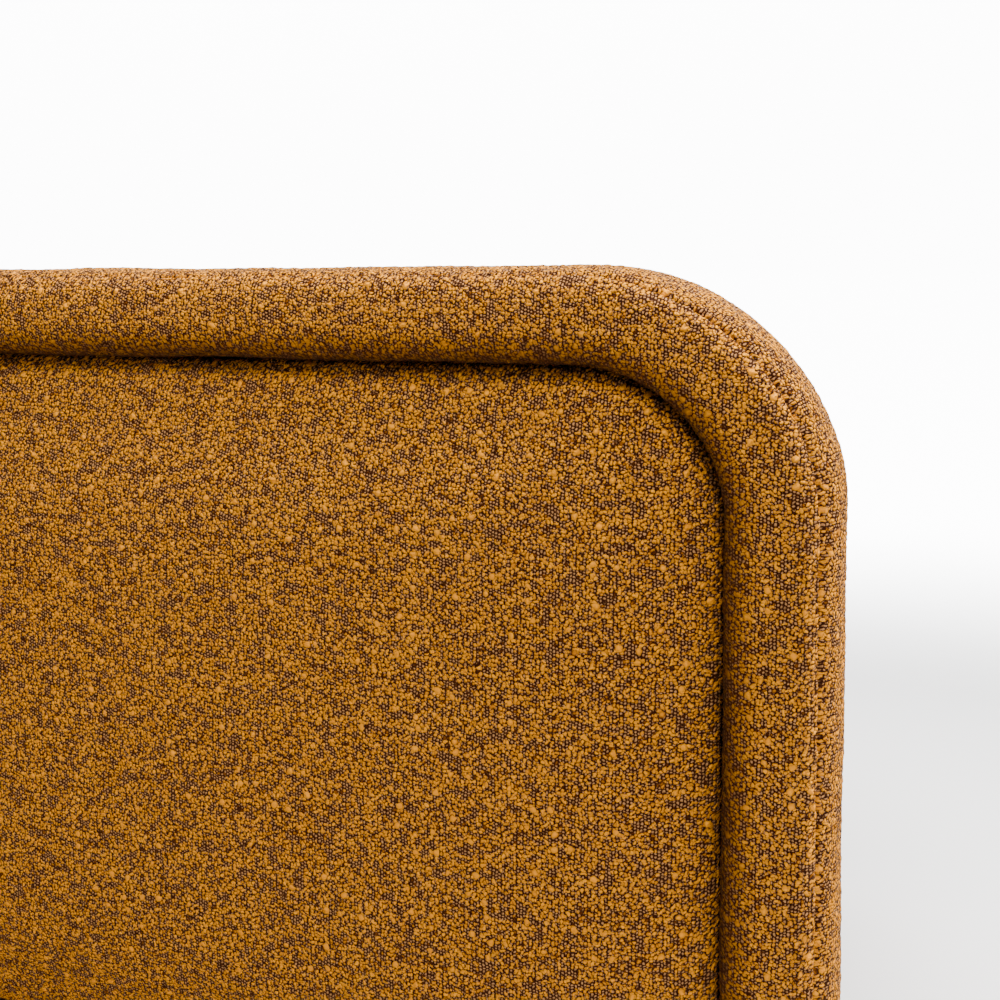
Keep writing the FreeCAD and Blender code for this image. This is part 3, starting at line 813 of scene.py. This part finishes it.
def stitch(x, y, z):
    """One short stitch of thread, lying across the tab."""
    let_go()
    bpy.ops.mesh.primitive_cylinder_add(
        vertices=8, radius=0.45 * MM, depth=2.6 * MM, location=(x, y, z), rotation=(0, math.pi / 2, 0),
    )
    piece = bpy.context.object
    bpy.ops.object.transform_apply(location=True, rotation=True, scale=True)
    pick(piece, "faces", lambda f: abs(f.normal.x) > 0.9)
    bpy.ops.mesh.extrude_faces_move(TRANSFORM_OT_shrink_fatten={"value": 0.3 * MM})
    bpy.ops.mesh.merge(type="COLLAPSE")
    bpy.ops.object.mode_set(mode="OBJECT")
    return piece


TAB_TOP = max(v.co.z for v in tab.data.vertices if v.co.y < TAB_LOW.y + 12 * MM)
row = []
for y in (TAB_LOW.y + 3.5 * MM, TAB_LOW.y + 9 * MM):
    for step in range(STITCHES):
        row.append(stitch((step - STITCHES // 2) * STITCH_APART, y, TAB_TOP - 0.1 * MM))
let_go()
for piece in row:
    piece.select_set(True)
bpy.context.view_layer.objects.active = row[0]
bpy.ops.object.join()
thread = row[0]
thread.name = thread.data.name = "pull_tab_stitches"
smooth(thread, 60)
told(thread)

# %% Set the lid and the box cover in place
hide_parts("lid_cushion")
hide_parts("side_cover_left", "side_cover_right", "rear_cover")
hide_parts("pull_tab")
for piece, body in ((lid, "lid"), (wall_cover, "base"), (tab, "lid"), (thread, "lid")):
    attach(piece, body)

# %% [markdown]
# ## Birch plywood
# The boards are birch plywood. Its faces show a calm, pale figure that runs with
# the long side, and its cut edges show the plies, light and dark in turn. One
# rule tells them apart: the surface's own direction, read in the board's frame
# so that it still holds when the lid is raised.

# %% Plywood and pine
def facing(f):
    """The surface's direction in its own frame, as three numbers without sign."""
    way = f.node("ShaderNodeTexCoord", out="Normal")
    return [part.size() for part in f.parts(way)]


def grain(f, run, wide=0.35, long=0.012):
    """Streaks along one axis: 0, 1 or 2."""
    scale = [wide, wide, wide]
    scale[run] = long
    spot = f.place([1000.0 * s for s in scale])
    figure = f.noise(spot, 1.0, 5.0, 0.62)
    pores = f.noise(spot, 6.0, 3.0, 0.6)
    return figure, pores


def plywood(name, through, run):
    f = Finish(name)
    figure, pores = grain(f, run)
    face = f.mix(figure.step(0.32, 0.72), (0.62, 0.43, 0.25), (0.76, 0.58, 0.38))
    face = f.mix(pores.step(0.56, 0.74) * 0.35, face, (0.42, 0.26, 0.13))
    depth = f.parts(f.place())[through]
    wobble = f.noise(f.place(), 0.08, 2.0) * 0.5
    ply = ((depth + wobble) * (2 * math.pi / 2.9)).sin() * 0.5 + 0.5
    layers = f.mix(ply.step(0.3, 0.7), (0.36, 0.22, 0.11), (0.72, 0.54, 0.34))
    speck = f.noise(f.place(), 1.6, 3.0).step(0.55, 0.7) * 0.4
    layers = f.mix(speck, layers, (0.24, 0.14, 0.07))
    cut = 1.0 - facing(f)[through].step(0.4, 0.6)
    colour = f.mix(cut, face, layers)
    height = (pores * 0.08 + cut * ply * 0.12 + figure * 0.05) * MM
    rough = 0.52 + cut * 0.2 - figure * 0.08
    return f.finish(colour, rough, height, 1.0, coat_weight=0.12, coat_roughness=0.35)


def pine(name, run):
    f = Finish(name)
    figure, pores = grain(f, run, 0.12, 0.006)
    rings = (figure * 38.0).sin() * 0.5 + 0.5
    colour = f.mix(rings.step(0.35, 0.95), (0.74, 0.52, 0.28), (0.58, 0.34, 0.14))
    colour = f.mix(pores.step(0.5, 0.8) * 0.3, colour, (0.45, 0.27, 0.12))
    return f.finish(colour, 0.6 + pores * 0.2, (rings * 0.1 + pores * 0.1) * MM)


def dress(material, *nodes):
    """Give CAD nodes a finish."""
    for name in nodes:
        data = bpy.data.objects[name].data
        data.materials.clear()
        data.materials.append(material)
    print(material.name, "on", ", ".join(nodes))


dress(plywood("ply_upright_front", 1, 0), "front_frame_board", "front_pad_board", "rear_panel")
dress(plywood("ply_side", 0, 1), "side_panel_left", "side_panel_right")
dress(plywood("ply_flat", 2, 0), "bottom_panel", "lid_board")
dress(pine("pine_long", 0), "base_rails")
dress(pine("pine_post", 2), "corner_posts")
dress(pine("pine_batten", 1), "cross_battens")

# %% [markdown]
# ## Lining and dust cloth
# Both are felted, not woven: thin fibres pressed together, with a faint grid of
# dimples where a hot roller joined them. Fine stretched noise in two directions
# gives the fibres, and two sines make the dimples.

# %% Non-woven cloths and felt
def pressed_cloth(name, dark, light, pitch=2.0, fibre=1.4):
    f = Finish(name)
    spot = f.place()
    one = f.noise(f.place((1000.0, 350.0, 1000.0), (0.3, 0.5, 0.7)), fibre, 4.0, 0.65)
    two = f.noise(f.place((350.0, 1000.0, 500.0), (0.9, 0.2, 0.4)), fibre, 4.0, 0.65)
    x, y, z = f.parts(spot)
    turn = 2 * math.pi / pitch
    dimple = ((x + z) * turn).sin() * ((y - z) * turn).sin()
    mottle = f.noise(spot, 0.03, 3.0)
    tone = one * 0.5 + two * 0.5 + mottle * 0.12 - 0.06 - dimple.step(0.5, 0.95) * 0.18
    colour = f.mix(tone.step(0.3, 0.68), dark, light)
    height = (one * 0.10 + two * 0.10 - dimple.step(0.4, 0.95) * 0.14) * MM
    return f.finish(colour, 0.9, height, 1.0, sheen_weight=0.1, sheen_roughness=0.5)


dress(
    pressed_cloth("lining_cloth", (0.13, 0.115, 0.095), (0.25, 0.225, 0.19)),
    "storage_liner", "front_back_cloth", "lid_lining",
)
dress(pressed_cloth("dust_cloth", (0.008, 0.008, 0.009), (0.035, 0.034, 0.033), 2.6), "dust_cover")
dress(pressed_cloth("felt", (0.05, 0.042, 0.035), (0.15, 0.13, 0.11), 9.0, 0.9), "foot_glides")

# %% [markdown]
# ## Feet and ironmongery
# The feet are turned in wood, stained dark and lacquered, so a coat lies over
# the grain. The hinges, brackets and screws are zinc-plated steel, with the
# cloudy spangle and fine scratches of plating. The struts are painted black,
# their rods are chromed, and the small parts are nylon and rubber.

# %% Stained wood and metals
def stained_wood(name):
    f = Finish(name)
    figure, pores = grain(f, 2, 0.5, 0.05)
    colour = f.mix(figure.step(0.3, 0.7), (0.022, 0.010, 0.005), (0.085, 0.040, 0.018))
    colour = f.mix(pores.step(0.55, 0.75) * 0.5, colour, (0.008, 0.004, 0.002))
    return f.finish(
        colour, 0.38 + pores * 0.15, (pores * 0.07 + figure * 0.04) * MM, 1.0,
        coat_weight=0.5, coat_roughness=0.18,
    )


def plated(name, dark, light, low, high, scratch=0.05):
    f = Finish(name)
    spangle = f.noise(f.place(), 0.22, 3.0, 0.6)
    lines = f.noise(f.place((1000.0, 60.0, 1000.0), (0.2, 0.1, 0.6)), 2.2, 4.0, 0.7)
    colour = f.mix(spangle.step(0.3, 0.7), dark, light)
    rough = spangle.step(0.25, 0.75) * (high - low) + low + lines.step(0.5, 0.8) * 0.12
    material = f.finish(colour, rough, lines * scratch * MM)
    f.shader.inputs["Metallic"].default_value = 1.0
    return material


def painted(name, dark, light, rough, size=0.8, depth=0.06, coat=0.1):
    f = Finish(name)
    fine = f.noise(f.place(), size, 4.0, 0.6)
    broad = f.noise(f.place(), 0.05, 2.0)
    colour = f.mix((fine * 0.6 + broad * 0.4).step(0.35, 0.65), dark, light)
    rough = rough + fine * 0.12
    return f.finish(colour, rough, fine * depth * MM, 1.0, coat_weight=coat, coat_roughness=0.3)


def called(*starts):
    """The CAD nodes whose names start so."""
    return [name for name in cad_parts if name.startswith(starts)]


FEET = [name for name in called("foot_") if name not in ("foot_glides", "foot_bolts")]
IRON = called("hinge_", "strut_bracket_", "bracket_screws_")
ZINC = plated("zinc_plate", (0.52, 0.53, 0.53), (0.74, 0.74, 0.72), 0.26, 0.46)
BLACK = painted("black_paint", (0.010, 0.010, 0.011), (0.022, 0.022, 0.024), 0.34)
CHROME = plated("chrome", (0.78, 0.79, 0.80), (0.88, 0.88, 0.89), 0.07, 0.13, 0.01)
NYLON = painted("nylon", (0.012, 0.012, 0.012), (0.030, 0.030, 0.031), 0.46, 2.2, 0.1, 0.0)
RUBBER = painted("rubber", (0.016, 0.016, 0.016), (0.040, 0.039, 0.038), 0.72, 1.4, 0.12, 0.0)
dress(stained_wood("foot_stain"), *FEET)
dress(ZINC, *IRON, "panel_bolts", "foot_bolts")
dress(BLACK, "strut_cylinder_left", "strut_cylinder_right")
dress(CHROME, "strut_rod_left", "strut_rod_right")
dress(NYLON, "strut_end_fitting_left", "strut_end_fitting_right")
dress(RUBBER, "lid_bumpers")

# %% [markdown]
# ## Bouclé
# The cloth is two things. A plain ribbed ground of pale yarn runs up
# and down, and loops of golden yarn are thrown over it in clumps, with a few
# larger knots. The finish follows that. Each small cell of a pattern is one
# loop, and whether it is there is asked once per cell, at its middle, so that a
# loop is never cut in half. Shade is painted into the colour: near black in the
# hollows of the ground and in the gaps where loops meet, amber on the low sides
# of loops and knots, and dark at the bottom of the seam beside the pad.

# %% The bouclé finish
RIB = 1.38
BEAD = 1.5
# Painted shade: the first two colours, in the gaps and hollows of the cloth and at the bottom of the
# seam. The amber is partly painted shade on the low sides of loops and knots and partly the tone of
# loops that are darker at random.
GAP_SHADE = (0.022, 0.0038, 0.0005)
SEAM_PAINTED_SHADE = (0.03, 0.006, 0.0006)
TAUPE = (0.44, 0.20, 0.072)
AMBER_TONE_AND_SHADE = (0.25, 0.058, 0.0015)
GOLD = (0.94, 0.36, 0.010)
ORANGE = (0.90, 0.33, 0.008)


def cells(f, where, scale, loose):
    """Round cells: distance from each middle, three chances, and the middle."""
    made = f.node(
        "ShaderNodeTexVoronoi", {"voronoi_dimensions": "2D", "feature": "F1"},
        {"Vector": where, "Scale": scale, "Randomness": loose},
    )
    outputs = made.socket.node.outputs
    return made, f.parts(Wire(f, outputs["Color"])), Wire(f, outputs["Position"])


def boucle(name):
    f = Finish(name)
    spot = f.place()
    across, along_rib, _ = f.parts(f.cloth_place())
    wander = f.noise(spot, 0.30, 2.0)
    sway = f.parts(f.noise(spot, 0.41, 2.0, out=1))
    u = across * 1000.0 + wander * 1.4
    v = along_rib * 1000.0 + sway[1] * 2.4
    column = (u / RIB).whole()
    thread = (u / RIB - column - 0.5).size() * 2.0
    bead = (v * (2 * math.pi / BEAD) + column * 2.4).sin() * 0.5 + 0.5
    ground = (1.0 - thread ** 2.0) * (bead * 0.75 + 0.25)

    flat = f.node("ShaderNodeCombineXYZ", None, {
        0: across * 1000.0 + sway[0] * 2.2, 1: along_rib * 1000.0 + sway[2] * 2.2,
    })
    gap, chance, middle_of = cells(f, flat, 0.60, 0.85)
    reach = chance[0] * 0.14 + 0.46
    loop = (1.0 - (gap / reach) ** 2.0).most(0.0)
    clump_place = f.node("ShaderNodeMapping", {"vector_type": "POINT"}, {
        "Vector": middle_of, "Rotation": (0.0, 0.0, math.radians(-38)), "Scale": (0.10, 0.19, 1.0),
    })
    clump = f.noise(clump_place, 1.0, 3.0, 0.6)
    there = (clump + chance[1] * 0.26).step(0.52, 0.60)
    loop = loop * there

    knot_gap, luck, _ = cells(f, flat, 0.115, 1.0)
    knot = (1.0 - (knot_gap / (luck[0] * 0.14 + 0.07)) ** 2.0).most(0.0) * luck[1].step(0.4, 0.55)

    # Painted shade: the ground is near black in its hollows, between ribs and beads, and taupe on top.
    under = f.mix(ground.step(0.2, 0.95), GAP_SHADE, TAUPE)
    # Painted shade and random tone: a loop is amber low on its sides and gold on top, some loops are
    # darker at random, and its rim goes near black where loops meet.
    tone = loop.step(0.10, 0.80) * (chance[2] * 0.45 + 0.55)
    over = f.mix(tone, AMBER_TONE_AND_SHADE, GOLD)
    over = f.mix(loop.step(0.06, 0.58), GAP_SHADE, over)
    colour = f.mix(loop.step(0.02, 0.12), under, over)
    # Painted shade: a knot is amber low on its sides and orange on top.
    lump = f.mix(knot.step(0.0, 0.6), AMBER_TONE_AND_SHADE, ORANGE)
    colour = f.mix(knot.step(0.05, 0.3), colour, lump)

    # Painted shade: the cloth darkens by up to 93 % towards the seam beside the pad.
    seam = f.node("ShaderNodeAttribute", {"attribute_name": "seam"}, out=2)
    colour = f.mix(seam * 0.93, colour, SEAM_PAINTED_SHADE)
    height = (ground * 0.6).most(loop * 1.3).most(knot * 2.2)
    return f.finish(
        colour, 0.92, height * MM, 1.0,
        sheen_weight=0.03, sheen_roughness=0.5, sheen_tint=(1.0, 0.55, 0.15, 1.0),
        specular_ior_level=0.04,
    )


cloth = boucle("boucle")
for piece in (roll, band, pad, lid, wall_cover, tab):
    piece.data.materials.clear()
    piece.data.materials.append(cloth)
print(cloth.name, "on the six pieces of cloth")

# %% [markdown]
# ## Sewing thread
# The stitches of the pull tab are thick twisted thread. A sine that runs aslant
# across it gives the twist, and a fine noise the fibres that stand off it. The
# sine also paints shade into the colour, dark in the grooves of the twist.

# %% The thread finish
f = Finish("sewing_thread")
x, y, _ = f.parts(f.place())
twist = ((x + y * 0.6) * (2 * math.pi / 0.5)).sin() * 0.5 + 0.5
fuzz = f.noise(f.place(), 4.0, 3.0)
# Painted shade in the grooves of the twist, with a random tone from the fuzz.
dye_and_twist_shade = f.mix(twist * 0.6 + fuzz * 0.4, (0.20, 0.055, 0.004), (0.62, 0.25, 0.02))
thread.data.materials.clear()
thread.data.materials.append(f.finish(dye_and_twist_shade, 0.6, twist * 0.12 * MM, 1.0))

# %% [markdown]
# ## Room, light and camera
# A pale floor curves up into pale walls on every side, so that no edge of the
# room shows from any angle. Only the part straight behind glows. Two lamps are
# overhead: one in front, which grazes the face and brings out each loop of the
# cloth, and one above the top edge. A third stands behind the right side and
# lights the edge band, and a faint one in front keeps the shadows open.

# %% Floor and backdrop
def sweep(name, width, front, back, height, bend):
    """A floor that curves up into walls all round."""
    let_go()
    bpy.ops.mesh.primitive_plane_add(size=1)
    piece = bpy.context.object
    piece.name = piece.data.name = name
    piece.scale = (width, back - front, 1)
    piece.location = (0, (front + back) / 2, 0)
    bpy.ops.object.transform_apply(location=True, rotation=True, scale=True)
    pick(piece, "edges", lambda e: e.is_boundary)
    bpy.ops.mesh.extrude_edges_move(TRANSFORM_OT_translate={"value": (0, 0, height)})
    pick(piece, "edges", lambda e: middle(e).z < 0.01)
    bpy.ops.mesh.bevel(offset=bend, segments=24, affect="EDGES")
    smooth(piece, 60)
    return piece


GLOW = 11.0
room = sweep("floor", 14, -7, 3.4, 5, 1.6)
f = Finish("pale_paint")
f.shader.inputs["Emission Strength"].default_value = GLOW
across, behind, up = f.parts(f.place((1.0, 1.0, 1.0)))
sides = across.step(-4.6, -3.8) * (1.0 - across.step(1.5, 2.3))
lit = behind.step(0.6, 1.6) * sides * (1.0 - up.step(2.2, 3.0))
glow = f.mix(lit, (0.0, 0.0, 0.0), (1.0, 1.0, 1.0))
f.plug(f.shader.inputs["Emission Color"], glow)
speckle = f.noise(f.place((1.0, 1.0, 1.0)), 3.0, 3.0)
paint = f.mix(speckle, (0.80, 0.80, 0.80), (0.84, 0.84, 0.84))
room.data.materials.append(f.finish(paint, 0.85))

# %% Lamps
def lamp(name, place, aim, size, power):
    """A white rectangular lamp, turned to face a point."""
    data = bpy.data.lights.new(name, "AREA")
    data.shape = "RECTANGLE"
    data.size, data.size_y = size
    data.energy = power
    item = bpy.data.objects.new(name, data)
    scene.collection.objects.link(item)
    item.location = place
    item.rotation_euler = (Vector(aim) - Vector(place)).to_track_quat("-Z", "Y").to_euler()
    print(name, power, "W")


lamp("key_lamp", (0.42, -0.68, 1.08), (-0.6, -0.2, 0.5), (0.5, 0.3), 13)
lamp("over_lamp", (0.28, -0.08, 1.3), (0.28, -0.15, 0.3), (0.6, 0.5), 20)
lamp("rear_right_lamp", (1.15, 0.25, 0.95), (0.45, -0.19, 0.35), (0.4, 0.5), 32)
lamp("front_fill", (0.7, -2.4, 1.8), (0, 0, 0.3), (1.6, 1.2), 0.7)

world = bpy.data.worlds.new("room")
scene.world = world
world.use_nodes = True
air = world.node_tree.nodes["Background"].inputs
air["Color"].default_value = (1, 1, 1, 1)
air["Strength"].default_value = 0.05

# %% Camera
YAW = math.radians(17.3)
PITCH = math.radians(3)
FOCAL = 1.15
SENSOR = 36
camera_data = bpy.data.cameras.new("camera")
camera_data.sensor_width = SENSOR
camera_data.lens = FOCAL * SENSOR
camera_data.shift_y = -0.154
camera_data.clip_start = 0.02
camera = bpy.data.objects.new("camera", camera_data)
scene.collection.objects.link(camera)
camera.location = (FRONT_HALF + 13 * MM, SEAM_Y - 474 * MM, FRONT_HIGH - 4.8 * MM)
level = math.cos(PITCH)
ahead = Vector((-math.sin(YAW) * level, math.cos(YAW) * level, -math.sin(PITCH)))
camera.rotation_euler = ahead.to_track_quat("-Z", "Y").to_euler()
scene.camera = camera
